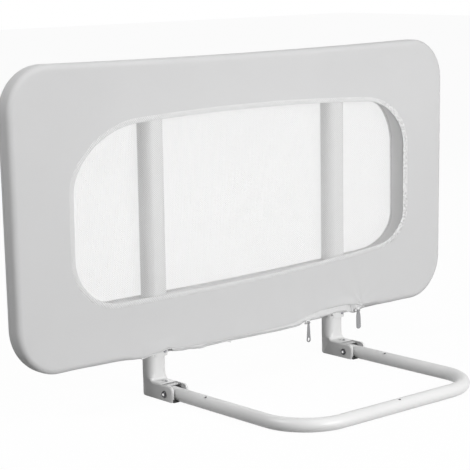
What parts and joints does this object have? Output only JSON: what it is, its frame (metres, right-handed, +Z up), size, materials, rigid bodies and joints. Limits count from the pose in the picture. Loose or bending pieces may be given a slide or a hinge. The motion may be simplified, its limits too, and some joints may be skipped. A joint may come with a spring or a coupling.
{
  "type": "folding bed guard rail",
  "caption": "Padded mesh side rail on two uprights, hinged by locking channel brackets to a flat U-shaped base tube, with zips under its cover",
  "frame": {"origin": "middle of the footprint, on the surface that the base lies on", "axes": "+X runs along the panel, +Z is up, and -Y points from the panel to the front bar of the base, over the bed"},
  "size_m": [0.95, 0.3838, 0.5485],
  "materials": {
    "white_coat": "satin powder coat",
    "steel": "zinc plated",
    "grey_cloth": "matte woven",
    "pale_cloth": "matte woven tape",
    "white_net": "fine knitted mesh",
    "foam": "soft foam",
    "grey_plastic": "moulded",
    "zinc": "satin cast zinc"
  },
  "bodies": {
    "base": {"base_tube": "white_coat", "base_end_plug_left": "grey_plastic", "base_end_plug_right": "grey_plastic"},
    "guard": {"frame_hoop": "white_coat", "frame_crossbar": "white_coat", "edge_padding": "foam", "cover_front": "grey_cloth", "cover_back": "grey_cloth", "window_net_front": "white_net", "window_net_back": "white_net", "window_binding_front": "pale_cloth", "window_binding_back": "pale_cloth", "zip_inner": "pale_cloth", "zip_outer": "pale_cloth", "hinge_bracket_left": "white_coat", "hinge_pin_left": "steel", "hinge_spacer_left_inner": "grey_plastic", "hinge_spacer_left_outer": "grey_plastic", "upright_left": "white_coat", "upright_screw_left_1": "steel", "upright_screw_left_2": "steel", "hinge_bracket_right": "white_coat", "hinge_pin_right": "steel", "hinge_spacer_right_inner": "grey_plastic", "hinge_spacer_right_outer": "grey_plastic", "upright_right": "white_coat", "upright_screw_right_1": "steel", "upright_screw_right_2": "steel"},
    "lock_left": {"lock_slide_left": "steel", "lock_knob_left": "grey_plastic"},
    "lock_right": {"lock_slide_right": "steel", "lock_knob_right": "grey_plastic"},
    "zip_slider_inner": {"zip_slider_inner": "zinc"},
    "zip_pull_inner": {"zip_pull_inner": "zinc"},
    "zip_slider_outer": {"zip_slider_outer": "zinc"},
    "zip_pull_outer": {"zip_pull_outer": "zinc"}
  },
  "joints": [
    {"name": "fold", "type": "hinge", "parent": "base", "child": "guard", "pos_m": [0, 0.12455, 0.011], "axis": [1, 0, 0], "range_deg": [0, 90]},
    {"name": "lock_left", "type": "slide", "parent": "guard", "child": "lock_left", "axis": [0, 1, 0], "range_m": [0, 0.0129]},
    {"name": "lock_right", "type": "slide", "parent": "guard", "child": "lock_right", "axis": [0, 1, 0], "range_m": [0, 0.0129]},
    {"name": "zip_slide_inner", "type": "slide", "parent": "guard", "child": "zip_slider_inner", "axis": [1, 0, 0], "range_m": [-0.293, 0.046]},
    {"name": "zip_swing_inner", "type": "hinge", "parent": "zip_slider_inner", "child": "zip_pull_inner", "pos_m": [0.124, 0.1495, 0.06933], "axis": [1, 0, 0], "range_deg": [-150, 30]},
    {"name": "zip_slide_outer", "type": "slide", "parent": "guard", "child": "zip_slider_outer", "axis": [0.9998, 0, 0.0222], "range_m": [-0.013, 0.146]},
    {"name": "zip_swing_outer", "type": "hinge", "parent": "zip_slider_outer", "child": "zip_pull_outer", "pos_m": [0.24713, 0.1495, 0.07134], "axis": [0.9998, 0, 0.0222], "range_deg": [-150, 30]}
  ],
  "couplings": [
    {"joint": "lock_left", "follows": "fold", "m_per_rad": 0.0081487},
    {"joint": "lock_right", "follows": "fold", "m_per_rad": 0.0081487}
  ]
}
